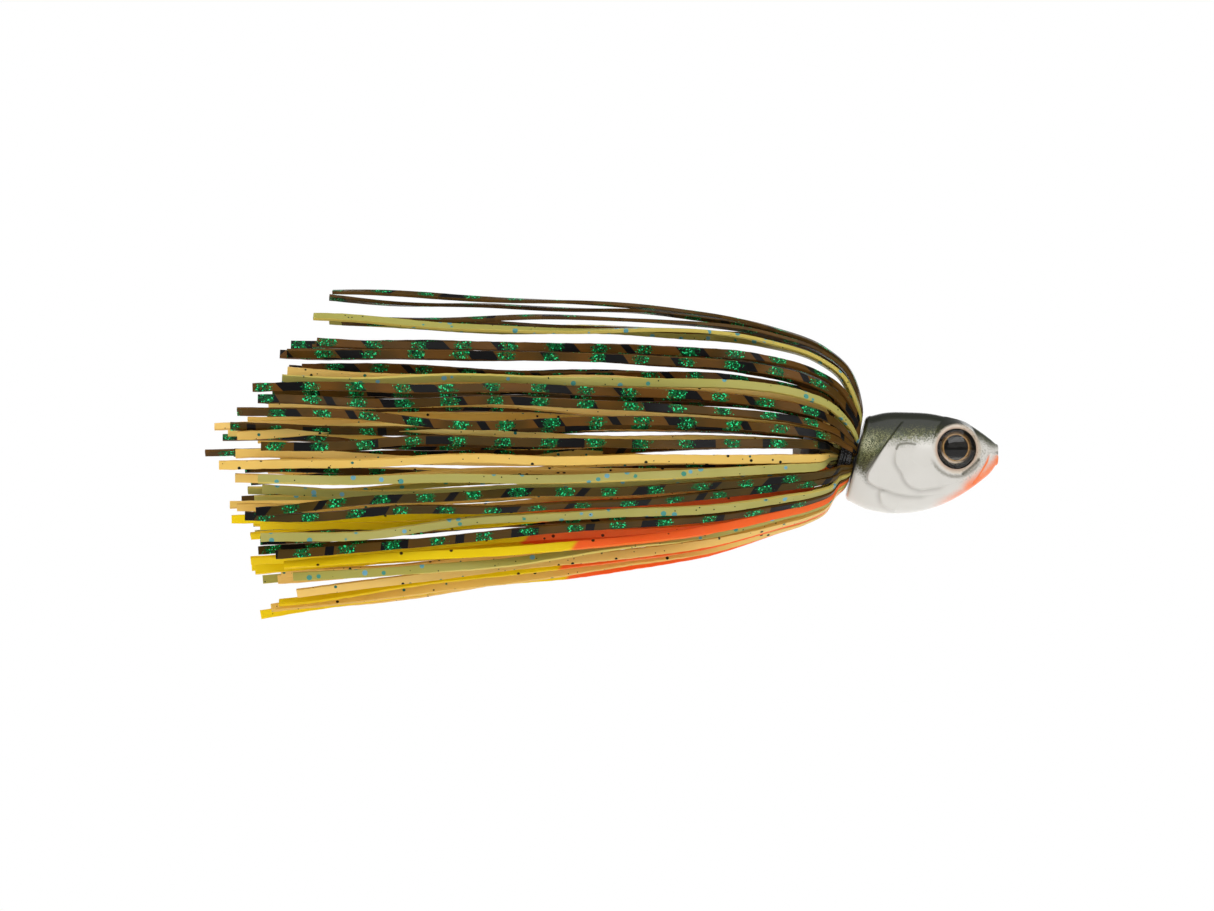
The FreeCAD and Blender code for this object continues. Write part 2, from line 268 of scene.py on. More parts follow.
def smooth_line(line, count=40):
    """More points on a smooth curve through the given ones."""
    line = np.array(line)
    along = run_lengths(line)
    return hermite(along, line, np.linspace(0, along[-1], count))


def nearest_on_stroke(line, x, z):
    """Distance from (x, z) to a smooth line through points, positive on its left, and a weight that drops to 0 at
    its ends."""
    line = smooth_line(line)
    steps = len(line) - 1
    signed = np.full(x.shape, 1e9)
    share = np.zeros(x.shape)
    for i, ((ax, az), (bx, bz)) in enumerate(zip(line[:-1], line[1:])):
        dx, dz = bx - ax, bz - az
        t = np.clip(((x - ax) * dx + (z - az) * dz) / (dx * dx + dz * dz), 0, 1)
        away = np.hypot(x - ax - t * dx, z - az - t * dz)
        closer = away < np.abs(signed)
        signed = np.where(closer, away * np.sign(dx * (z - az) - dz * (x - ax)), signed)
        share = np.where(closer, (i + t) / steps, share)
    return signed, smooth_step(0, STROKE_TAPER, share) * smooth_step(1, 1 - STROKE_TAPER, share)


def stroke_distance(line, x, z):
    """Signed distance to a stroke that thins out at its ends."""
    signed, weight = nearest_on_stroke(line, x, z)
    return signed + np.sign(signed) * 0.5 * (1 - weight)


def plate_edge(line, x, z, step, width):
    """Height of a cast plate's edge: raised on the line's left, dropping sharply to a crease on its right."""
    signed, weight = nearest_on_stroke(line, x, z)
    raised = step * np.exp(-np.clip(signed, 0, None) / width)
    crease = -0.35 * step * np.exp(-np.clip(-signed, 0, None) / 0.5)
    return (crease + (raised - crease) * smooth_step(-0.25, 0.25, signed)) * weight


def groove(line, x, z, depth, width):
    """Height of a rounded groove along a line."""
    signed, weight = nearest_on_stroke(line, x, z)
    return -depth * weight * np.exp(-((signed / width) ** 2))


def head_surface(x, angle):
    """Points on the head at x and at an angle round from the top."""
    order = HEAD_SECTIONS[::-1]
    values = hermite(order[:, 0], order[:, 1:], x.ravel())
    top, bottom, half = (values[:, k].reshape(x.shape) for k in range(3))
    y = half * np.sin(angle)
    z = (top + bottom) / 2 + (top - bottom) / 2 * np.cos(angle)
    return np.stack([x, y, z], axis=-1)


def eye_axes(hand):
    """Centre of an eye on the head's surface and the way it looks."""
    centre = np.array([EYE_CENTRE[0], hand * EYE_CENTRE[1], EYE_CENTRE[2]])
    normal = np.array([math.sin(EYE_TOE), hand * math.cos(EYE_TOE), 0.0])
    return centre, normal


def eye_reach(points, hand):
    """Distance of points from an eye's axis, and their height along it."""
    centre, normal = eye_axes(hand)
    offset = points - centre
    height = offset @ normal
    return np.linalg.norm(offset - height[..., None] * normal, axis=-1), height


def raise_eye_boss(points, hand):
    """Lifts the surface to the eye's flat rim and sinks the socket inside it."""
    normal = eye_axes(hand)[1]
    reach, height = eye_reach(points, hand)
    out = reach - BOSS_RADIUS
    slope = BOSS_SLOPE * (out + np.sqrt(out**2 + 0.012))
    rim = BOSS_HEIGHT - BOSS_BEVEL * smooth_step(3.2, BOSS_RADIUS, reach) - slope
    wanted = (height + rim + np.sqrt((height - rim) ** 2 + 0.05)) / 2
    wanted = np.where(reach < BOSS_RADIUS, np.minimum(wanted, BOSS_HEIGHT + 0.06), wanted)
    socket = smooth_step(3.04, 2.92, reach)
    wanted = wanted * (1 - socket) - SOCKET_DEPTH * socket
    near = (reach < BOSS_FOOT + 0.6) & (points[..., 1] * hand > 0)
    shift = np.where(near, wanted - height, 0.0)
    return points + shift[..., None] * normal


def head_relief(points):
    """Height of the cast lines over the plain surface."""
    x, z = points[..., 0], points[..., 2]
    relief = plate_edge(GILL_LINE, x, z, 0.46, 1.6)
    relief += plate_edge(CHEEK_LINE, x, z, 0.42, 1.4)
    relief += plate_edge(FIN_LINE, x, z, 0.34, 1.1)
    relief += groove(MOUTH_LINE, x, z, 0.28, 0.22)
    relief += groove(CHEEK_GROOVE, x, z, 0.10, 0.28)
    relief += groove(CREST_LINE, x, z, 0.08, 0.25)
    return relief


def head_rings():
    """The painted head from its nose to its rear edge, as rings of points, with the relief on it."""
    angle = round_angles(HEAD_COLUMNS)
    share = np.linspace(0, 1, HEAD_ROWS) ** HEAD_CROWDING
    rear_x = np.full(HEAD_COLUMNS, -21.0)
    for _ in range(12):
        z = head_surface(rear_x, angle)[:, 2]
        rear_x = REAR[0] + REAR_ROUND + (z - REAR[2]) * math.tan(REAR_SLANT)
    x = -NOSE_ROUND + (rear_x[None, :] + NOSE_ROUND) * share[:, None]
    points = head_surface(x, np.broadcast_to(angle, x.shape))
    along = np.gradient(points, axis=0)
    around = np.roll(points, -1, axis=1) - np.roll(points, 1, axis=1)
    normal = unit(np.cross(around, along))
    normal = normal * np.sign(np.sum(normal * (points - HEAD_MIDDLE), axis=-1).mean())
    sideways = smooth_step(0.12, 0.5, np.abs(normal[..., 1]))
    points = points + normal * (head_relief(points) * sideways)[..., None]
    for hand in SIDES.values():
        points = raise_eye_boss(points, hand)
    return points


def neck_ring(distance, radius, angle):
    """Ring round the neck's axis, at a distance behind the head's rear face."""
    return REAR + BEHIND * distance + radius * outward(-angle)


def bore_ring(x, radius, angle):
    """Ring round the line's axis."""
    return np.stack([np.full(angle.shape, x), radius * np.sin(angle), radius * np.cos(angle)], axis=-1)


def make_head(material):
    """The cast and painted head, with neck, flange and bore, as one closed skin."""
    body = head_rings()
    columns = body.shape[1]
    angle = round_angles(columns)
    front, rear = body[0], body[-1]
    rings = [bore_ring(x, BORE_RADIUS, angle) for x in (-12.0, -1.2, -0.35, -0.12)]
    mouth = bore_ring(-0.03, BORE_RADIUS + 0.06, angle)
    inner = front * [1, 0.78, 0.78] + [NOSE_ROUND, 0, 0]
    for share in (0.0, 0.35, 0.7):
        rings.append(mouth * (1 - share) + inner * share)
    for turn in np.linspace(0, math.pi / 2, 7)[:-1]:
        spread = 0.78 + 0.22 * math.sin(turn)
        lift = NOSE_ROUND * math.cos(turn)
        rings.append(front * [1, spread, spread] + [lift, 0, 0])
    rings.extend(body)
    last_body = len(rings)
    flat = rear - REAR
    flat = flat - (flat @ BEHIND)[:, None] * BEHIND
    for turn in np.linspace(0, math.pi / 2, 6)[1:]:
        inset = 1 - REAR_ROUND * (1 - math.cos(turn)) / 6.0
        back = REAR_ROUND * (math.sin(turn) - 1) * math.cos(REAR_SLANT)
        rings.append(REAR + flat * inset + BEHIND * back)
    edge = rings[-1]
    collar = neck_ring(0.0, NECK_RADIUS + 0.25, angle)
    for share in (0.15, 0.5, 1.0):
        rings.append(edge * (1 - share) + collar * share)
    for distance, radius in (
        (0.25, NECK_RADIUS), (3.5, NECK_RADIUS), (NECK_LENGTH - 0.1, NECK_RADIUS),
        (NECK_LENGTH, FLANGE_RADIUS - 0.1),
        (NECK_LENGTH + 0.15, FLANGE_RADIUS), (NECK_LENGTH + FLANGE_LENGTH - 0.15, NECK_RADIUS + 0.1),
        (NECK_LENGTH + FLANGE_LENGTH, NECK_RADIUS - 0.1),
    ):
        rings.append(neck_ring(distance, radius, angle))
    tail_x = REAR[0] - (NECK_LENGTH + FLANGE_LENGTH) * math.cos(REAR_SLANT)
    rings.append(bore_ring(tail_x + 0.2, BORE_RADIUS, angle))
    points = np.array(rings)
    notch = np.exp(-(((points[..., 2] + 0.1) / 0.32) ** 2)) * smooth_step(-0.9, -0.2, points[..., 0])
    outside = np.hypot(points[..., 1], points[..., 2]) > BORE_RADIUS + 0.03
    points[..., 0] -= 0.32 * notch * outside
    rows = len(points)
    flat_points = points.reshape(-1, 3)
    faces = grid_faces(rows, columns, wrap_rows=True)
    x, z = flat_points[:, 0], flat_points[:, 2]
    on_body = np.zeros((rows, columns))
    on_body[4:last_body + 4] = 1.0
    other_side = 9.0  # added to an eye's distances on the far side of the head
    eye_ring = np.minimum(*(
        eye_reach(flat_points, hand)[0] + other_side * (flat_points[:, 1] * hand < 0) for hand in SIDES.values()
    ))
    attributes = {
        "painted": on_body.ravel(),
        "eye_distance": eye_ring,
        "gill_distance": stroke_distance(GILL_LINE, x, z),
        "cheek_distance": np.abs(stroke_distance(CHEEK_LINE[:4], x, z)),
        "cheek_line_distance": stroke_distance(CHEEK_LINE, x, z),
        "fin_distance": stroke_distance(FIN_LINE, x, z),
        "cheek_groove_distance": np.abs(stroke_distance(CHEEK_GROOVE, x, z)),
        "mouth_distance": stroke_distance(MOUTH_LINE, x, z),
        "keel_height": z - hermite(HEAD_SECTIONS[::-1, 0], HEAD_SECTIONS[::-1, 2:3], x)[:, 0],
    }
    head = make_piece("painted_head", flat_points, faces, material, attributes)
    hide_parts("head_casting")
    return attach(head, "head")


def turned(profile, steps, place):
    """Points of a closed profile (distance along, radius) turned round an axis by place(along, radius, angles)."""
    return np.concatenate([place(along, radius, round_angles(steps)) for along, radius in profile])


def make_tube(material):
    """The thin line tube, with rounded lips at both ends."""
    lip, steps = 0.06, 64
    middle = (TUBE_OUTER + TUBE_INNER) / 2
    half = (TUBE_OUTER - TUBE_INNER) / 2
    profile = []
    for x, way in ((0.0, 1), (-TUBE_LENGTH, -1)):
        for turn in np.linspace(0, math.pi, 7):
            profile.append((x - way * lip + way * lip * math.sin(turn), middle - way * half * math.cos(turn)))
    points = turned(profile, steps, bore_ring)
    faces = grid_faces(len(profile), steps, wrap_rows=True)
    tube = make_piece("clear_line_tube", points, faces, material)
    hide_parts("line_tube")
    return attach(tube, "head")


def eye_disc(hand, rings):
    """Points of rings (radius, height) round an eye's axis."""
    centre, normal = eye_axes(hand)
    side = np.array([-normal[1], normal[0], 0.0]) * hand
    angle = round_angles(EYE_STEPS)
    spokes = np.cos(angle)[:, None] * side + np.sin(angle)[:, None] * np.array([0, 0, 1.0])
    return np.concatenate([centre + normal * height + radius * spokes for radius, height in rings])


def make_eye(side, foil_material, lens_material):
    """A stamped foil disc with a printed iris, and the domed lens over it."""
    hand = SIDES[side]
    base = -SOCKET_DEPTH + 0.01
    edge = EYE_RADIUS - 0.03
    dish = [(r, base + FOIL_THICK + 0.02 * (r / EYE_RADIUS) ** 2) for r in np.linspace(edge, AXIS_GAP, 40)]
    rings = [(AXIS_GAP, base), (edge, base), *dish]
    points = eye_disc(hand, rings)
    offset = points - eye_axes(hand)[0]
    attributes = {
        "iris": np.linalg.norm(offset - [0, 0, PUPIL_RAISE], axis=-1) / EYE_RADIUS,
        "iris_place": np.stack([offset[:, 0], np.zeros(len(offset)), offset[:, 2]], axis=-1),
    }
    faces = capped_faces(len(rings), EYE_STEPS)
    foil = make_piece(f"printed_eye_foil_{side}", points, faces, foil_material, attributes)
    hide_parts(f"eye_foil_{side}")
    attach(foil, "head")

    seat = base + FOIL_THICK + 0.04
    ball = (EYE_RADIUS**2 + LENS_DOME**2) / (2 * LENS_DOME)
    crown = seat + LENS_RIM + LENS_DOME - ball
    dome = [(r, crown + math.sqrt(ball**2 - r**2)) for r in np.linspace(EYE_RADIUS - 0.06, AXIS_GAP, 36)]
    rim = [(AXIS_GAP, seat), (EYE_RADIUS - 0.05, seat), (EYE_RADIUS - 0.01, seat + 0.05), (EYE_RADIUS, seat + 0.2),
           (EYE_RADIUS - 0.01, seat + LENS_RIM - 0.03)]
    rings = rim + dome
    faces = capped_faces(len(rings), EYE_STEPS)
    lens = make_piece(f"domed_eye_lens_{side}", eye_disc(hand, rings), faces, lens_material)
    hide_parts(f"eye_lens_{side}")
    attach(lens, "head")


def make_roots(material):
    """The gathered strand roots: ridged where each strand passes round the neck, drawn in under the thread."""
    steps = 504
    start, back = ROOTS_GAP, ROOTS_GAP + ROOTS_LENGTH
    profile = [(start, NECK_RADIUS + 0.05), (start, 2.9), (start + 0.1, WAIST_RADIUS - 0.25)]
    profile += [(d, WAIST_RADIUS - 0.22) for d in np.linspace(WAIST_START, WAIST_START + WAIST_LENGTH, 6)]
    profile += [(3.1, 3.75), (3.5, ROOTS_RADIUS), (4.2, ROOTS_RADIUS), (4.9, ROOTS_RADIUS - 0.05),
                (5.3, 3.7), (back, 3.3), (back, NECK_RADIUS + 0.05)]
    rng = np.random.default_rng(7)
    angle = round_angles(steps)
    number = (angle / TURN * STRAND_COUNT).astype(int)
    ridge = np.abs(np.sin(angle * STRAND_COUNT / 2)) ** 0.6
    swell = rng.uniform(-0.12, 0.06, STRAND_COUNT)[number]
    rows = []
    for distance, radius in profile:
        reach = radius - (0.3 * (1 - ridge) - swell) * (radius > NECK_RADIUS + 0.3)
        rows.append(REAR + BEHIND * distance + reach[:, None] * outward(angle))
    points = np.concatenate(rows)
    faces = grid_faces(len(profile), steps, wrap_rows=True)
    attributes = {"root_number": np.tile(number + 0.5, len(profile)), "groove": np.tile(ridge, len(profile))}
    roots = make_piece("gathered_strand_roots", points, faces, material, attributes)
    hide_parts("strand_roots")
    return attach(roots, "head")


def sweep(centres, sides, ups, outline):
    """Points of an outline (side, up) carried along centres; widths may differ along the run."""
    return centres[:, None, :] + outline[..., 0:1] * sides[:, None, :] + outline[..., 1:2] * ups[:, None, :]


def make_thread(material):
    """Thread wound tightly round the roots: slanting, uneven turns that cross back over each other."""
    rng = np.random.default_rng(11)
    steps, corners = THREAD_TURNS * 60, 8
    t = np.linspace(0, 1, steps)
    angle = t * THREAD_TURNS * TURN
    passes = 0.5 - 0.5 * np.cos(t * math.pi * 3)
    jitter = sum(
        rng.uniform(0.03, 0.07) * np.sin(angle * k / 2.6 + rng.uniform(0, 6.28)) for k in (1, 1.7, 2.9)
    )
    room = WAIST_LENGTH - 2 * THREAD_RADIUS - 0.1
    distance = WAIST_START + 0.05 + THREAD_RADIUS + room * passes + jitter * 0.6
    distance = np.clip(distance, WAIST_START, WAIST_START + WAIST_LENGTH)
    uneven = 0.05 * np.sin(angle * 2.3) + 0.03 * np.sin(angle * 5.1)
    radius = WAIST_RADIUS - 0.02 + THREAD_RADIUS + 0.28 * t + uneven
    radial = outward(angle)
    centres = REAR + BEHIND * distance[:, None] + radial * radius[:, None]
    run = unit(np.gradient(centres, axis=0))
    side = unit(np.cross(run, radial))
    ups = unit(np.cross(side, run))
    corner = round_angles(corners)
    outline = np.stack([1.25 * THREAD_RADIUS * np.cos(corner), 0.8 * THREAD_RADIUS * np.sin(corner)], axis=-1)
    points = sweep(centres, side, ups, np.broadcast_to(outline, (steps, corners, 2)))
    along = np.repeat(run_lengths(centres), corners)
    place = np.stack([along, np.tile(corner, steps), np.zeros(len(along))], axis=-1)
    faces = capped_faces(steps, corners)
    thread = make_piece("wound_binding_thread", points.reshape(-1, 3), faces, material,
                        {"thread_place": place})
    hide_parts("binding_thread")
    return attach(thread, "head")


# ---------------------------------------------------------------- strands


def strand_route(angle, layer):
    """A strand's points from the CAD source: its root on the ring, then its run to the tip."""
    behind, share, sunk, first = LAYERS[layer]
    ring = REAR + BEHIND * RING_DISTANCE
    root = ring + BEHIND * behind + outward(angle) * (RING_RADIUS - sunk)
    flank = math.sin(angle) ** 2
    ends = TOP_RUN if math.cos(angle) > 0 else BOTTOM_RUN
    points = []
    for end, side in list(zip(ends, SIDE_RUN))[first:]:
        along = end[0] * (1 - flank) + side[0] * flank
        outer = np.array([along, -side[1] * math.sin(angle), end[1] * math.cos(angle)])
        folded = np.array([along, root[1], root[2]])
        points.append(folded + (outer - folded) * share - np.array([behind, 0, 0]))
    return root, points


def bundle_strands(place):
    """A bundle's strands, outer ones first: look, layer, and angle from the bundle's middle."""
    strands = []
    for layer, looks in zip(LAYERS, BUNDLES[place][1:]):
        looks = looks.split()
        half = HALF_SPREADS.get((layer, len(looks)), 0.0)
        offsets = np.linspace(-half, half, len(looks))
        strands += [(look, layer, offset) for look, offset in zip(looks, offsets)]
    return strands


def clumped(height):
    """Share of the clumping that strands whose tips are at a height take."""
    return smooth_step(6, 13, height)


def fan_lifts():
    """How far each strand of a side moves up at its tip so that the tips fan out evenly, by bundle and number."""
    tips = []
    for place, (middle, *_) in BUNDLES.items():
        for number, (_, layer, offset) in enumerate(bundle_strands(place)):
            tip = strand_route(math.radians(middle + offset), layer)[1][-1]
            tips.append((tip[2], place, number))
    tips.sort(reverse=True)
    crowd = np.linspace(0, 1, len(tips))
    down = crowd + FAN_THIN * (1 - np.exp(-crowd / FAN_THIN_DEPTH)) * (1 - crowd)
    even = FAN_TOP - (FAN_TOP - FAN_BOTTOM) * down
    even[1:] -= CLUMP_PULL * clumped(even[1:]) * np.sin((even[1:] - CLUMP_HEIGHT) * TURN / CLUMP_SPACING)
    return {(place, number): (even[i] - z) * FAN_SHARE for i, (z, place, number) in enumerate(tips)}


def strand_centres(angle, layer, lift, rng):
    """The strand's smooth centre line, from under the thread to its tip, with a seeded sway and droop."""
    root, run = strand_route(angle, layer)
    degrees = abs(math.degrees(angle))

    def leaving(place):
        behind, out = place
        return REAR + BEHIND * behind + outward(angle) * out

    if layer != "outer":
        start = leaving(INNER_START)
        knots = [start, (start + root) / 2 + BEHIND * 0.8, *run]
    elif THREAD_SHOWS_FROM < degrees < THREAD_SHOWS_TO:
        knots = [leaving(SIDE_START), leaving(SIDE_SHOULDER), *run[2:]]
    else:
        fold = (root + run[0]) / 2 - BEHIND * (0.6 + 0.9 * smooth_step(75, 45, degrees))
        knots = [leaving(OUTER_START), leaving(OUTER_SHOULDER), fold, *run[1:]]
    knots = np.array(knots)
    along = run_lengths(knots)
    length = along[-1] + rng.uniform(*LENGTH_SPREAD)
    at = length * np.linspace(0, 1, STRAND_STEPS) ** STRAND_CROWDING
    centres = hermite(along, knots, np.minimum(at, along[-1]))
    beyond = np.clip(at - along[-1], 0, None)[:, None]
    centres = centres + beyond * unit(knots[-1] - knots[-2])
    grow = smooth_step(6, 60, at)[:, None]
    radial = unit(centres * [0, 1, 1] + 1e-6)
    around = np.cross(radial, [1.0, 0, 0])
    sway, heave = np.zeros(len(at)), np.zeros(len(at))
    for wavelength in (95.0, 52.0, 27.0):
        size = wavelength / 95.0
        sway += rng.uniform(0.35, 1.0) * size * wave(at, wavelength, rng)
        heave += rng.uniform(0.2, 0.7) * size * wave(at, wavelength, rng)
    shingle = rng.uniform(-0.3, 0.3) * smooth_step(3, 12, at)
    centres = centres + around * grow * sway[:, None] * 0.75
    centres = centres + radial * (grow * heave[:, None] * 0.8 + shingle[:, None])
    stray = 0.8 - 0.4 * clumped(knots[-1][2] + lift)
    centres[:, 2] += (lift + rng.uniform(-stray, stray)) * smooth_step(4, 60, at)
    return centres, at


def strand_frame(centres, at, angle, rng):
    """Directions across the strand's width and out of its broad face, turning from the ring to the way it lies."""
    run = unit(np.gradient(centres, axis=0))
    radial = unit(centres * [0, 1, 1] + 1e-6)
    lies_flat = smooth_step(12, 38, at)[:, None]
    hand = -1.0 if math.sin(angle) > 0 else 1.0
    tilt = rng.normal(0, 0.28)
    flat_face = np.array([0.0, hand * math.cos(tilt), math.sin(tilt)])
    keeps_edge = smooth_step(32, 16, abs(math.degrees(angle)))
    face = radial * (1 - lies_flat * (1 - keeps_edge)) + flat_face * lies_flat * (1 - keeps_edge)
    face = unit(face - run * np.sum(face * run, axis=1, keepdims=True))
    across = np.cross(face, run)
    curl = 0.35 * np.sin(at / rng.uniform(9, 17) + rng.uniform(0, 6.28)) * smooth_step(8, 30, at)
    turn = (curl + rng.normal(0, 0.15))[:, None]
    return across * np.cos(turn) + face * np.sin(turn), face * np.cos(turn) - across * np.sin(turn)


def strand_mesh(angle, layer, lift, seed):
    """One strand as a swept flat band with rounded edges: its points, faces and pattern coordinates."""
    rng = np.random.default_rng(seed)
    centres, at = strand_centres(angle, layer, lift, rng)
    across, face = strand_frame(centres, at, angle, rng)
    room = np.hypot(centres[:, 1], centres[:, 2]) * STRAND_PITCH * 0.95
    width = np.minimum(STRAND_WIDTH, np.maximum(room, 0.5))
    ragged = sum(rng.uniform(0.015, 0.03) * wave(at, wavelength, rng) for wavelength in (7.3, 3.1, 1.7))
    half_width = width / 2 * (1 + ragged)
    half_thick = np.full(len(at), STRAND_THICK / 2)
    # each corner: the side it is on, and which way the bevel moves it, first across and then up
    shape = ((-1, 0, -1, 1), (-1, 1, -1, 0), (1, -1, -1, 0), (1, 0, -1, 1), (1, 0, 1, -1), (1, -1, 1, 0),
             (-1, 1, 1, 0), (-1, 0, 1, -1))
    outline = np.stack([
        np.stack([sx * half_width + bx * STRAND_BEVEL, sy * half_thick + by * STRAND_BEVEL], axis=-1)
        for sx, bx, sy, by in shape
    ], axis=1)
    points = sweep(centres, across, face, outline)
    count = len(shape)
    pattern_shift = 10 * (seed % 97)
    place = np.stack([
        np.repeat(at, count), outline[..., 0].ravel(), outline[..., 1].ravel() + pattern_shift,
    ], axis=-1)
    edge = np.tile([1, 0, 0, 1, 1, 0, 0, 1], len(at)).astype(float)
    chance = np.full(len(at) * count, rng.uniform(0, 1))
    return points.reshape(-1, 3), capped_faces(len(at), count), place, edge, chance


def make_strands(materials):
    """One piece for each CAD node of strands; each strand's run turns back where its bundle leaves the thread."""
    lifts = fan_lifts()
    for side, hand in SIDES.items():
        for b, (place, (middle, *_)) in enumerate(BUNDLES.items()):
            strands = bundle_strands(place)
            drop = LEFT_DROP if side == "left" and middle > LEFT_DROP_FROM else 0.0
            for kind in dict.fromkeys(look for look, layer, offset in strands):
                parts = []
                for s, (look, layer, offset) in enumerate(strands):
                    if look == kind:
                        seed = 1000 + 100 * b + 10 * s + (hand > 0)
                        angle = math.radians(-hand * (middle + offset))
                        parts.append(strand_mesh(angle, layer, lifts[place, s] - drop, seed))
                points, faces, places, edges, chances = zip(*parts)
                starts = np.cumsum([0, *map(len, points)])
                faces = [tuple(start + i for i in face) for start, group in zip(starts, faces) for face in group]
                attributes = {
                    "strand_place": np.concatenate(places),
                    "strand_edge": np.concatenate(edges),
                    "strand_chance": np.concatenate(chances),
                }
                node = f"{kind}_strands_{side}_{place}"
                piece = make_piece(f"silicone_{node}", np.concatenate(points), faces, materials[kind],
                                   attributes, crisp=True)
                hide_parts(node)
                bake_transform(piece)


# ---------------------------------------------------------------- materials


def srgb(red, green, blue):
    """A colour given as 0-255 screen values, as the shader's linear numbers."""
    linear = [v / 255 / 12.92 if v <= 10 else ((v / 255 + 0.055) / 1.055) ** 2.4 for v in (red, green, blue)]
    return (*linear, 1.0)


class Shader:
    """A new node tree, one short call a node. Inputs are numbers, colours or other nodes' sockets."""

    def __init__(self, name, library="materials"):
        self.owner = getattr(bpy.data, library).new(name)
        self.owner.use_nodes = True
        self.tree = self.owner.node_tree
        self.tree.nodes.clear()

    def feed(self, socket, value):
        if isinstance(value, bpy.types.NodeSocket):
            self.tree.links.new(value, socket)
        else:
            socket.default_value = value

    def node(self, kind, inputs=(), **settings):
        made = self.tree.nodes.new(kind)
        for key, value in settings.items():
            setattr(made, key, value)
        for key, value in dict(inputs).items():
            self.feed(made.inputs[key], value)
        return made

    def attribute(self, name, output="Fac"):
        return self.node("ShaderNodeAttribute", attribute_name=name).outputs[output]

    def math(self, operation, *values):
        made = self.node("ShaderNodeMath", operation=operation)
        for socket, value in zip(made.inputs, values):
            self.feed(socket, value)
        return made.outputs[0]

    def mul(self, product, *factors):
        for factor in factors:
            product = self.math("MULTIPLY", product, factor)
        return product

    def add(self, a, b):
        return self.math("ADD", a, b)

    def sub(self, a, b):
        return self.math("SUBTRACT", a, b)

    def away(self, value, centre):
        """Distance of a value from a centre."""
        return self.math("ABSOLUTE", self.sub(value, centre))

    def swing(self, noise, amount):
        """A noise made to swing evenly about zero."""
        return self.mul(self.sub(noise, 0.5), amount)

    def range(self, value, low, high, to_low=0.0, to_high=1.0):
        """Smooth change from to_low to to_high while the value goes from low to high."""
        inputs = {"Value": value, "From Min": low, "From Max": high, "To Min": to_low, "To Max": to_high}
        return self.node("ShaderNodeMapRange", inputs, interpolation_type="SMOOTHSTEP").outputs[0]

    def mix(self, share, a, b):
        """Colour a, turning to b as the share goes from 0 to 1."""
        made = self.node("ShaderNodeMix", data_type="RGBA")
        for socket, value in ((made.inputs["Factor"], share), (made.inputs[6], a), (made.inputs[7], b)):
            self.feed(socket, value)
        return made.outputs[2]

    def noise(self, scale, detail=2.0, vector=None, roughness=0.5):
        vector = vector or self.coordinates()
        inputs = {"Scale": scale, "Detail": detail, "Roughness": roughness, "Vector": vector}
        return self.node("ShaderNodeTexNoise", inputs).outputs[0]

    def voronoi(self, scale, vector, output="Distance"):
        return self.node("ShaderNodeTexVoronoi", {"Scale": scale, "Vector": vector}).outputs[output]

    def coordinates(self):
        return self.node("ShaderNodeTexCoord").outputs["Object"]

    def parts(self, vector):
        return self.node("ShaderNodeSeparateXYZ", {"Vector": vector}).outputs

    def vector(self, x, y, z):
        return self.node("ShaderNodeCombineXYZ", {"X": x, "Y": y, "Z": z}).outputs[0]

    def bump(self, height, strength, distance):
        inputs = {"Height": height, "Strength": strength, "Distance": distance}
        return self.node("ShaderNodeBump", inputs).outputs[0]

    def principled(self, **inputs):
        return self.node("ShaderNodeBsdfPrincipled", {k.replace("_", " "): v for k, v in inputs.items()})

    def both(self, share, first, second):
        """Two surfaces mixed: the second takes the share."""
        return self.node("ShaderNodeMixShader", {0: share, 1: first.outputs[0], 2: second.outputs[0]})

    def finish(self, surface, output="ShaderNodeOutputMaterial"):
        self.node(output, {"Surface": surface.outputs[0]})
        return self.owner


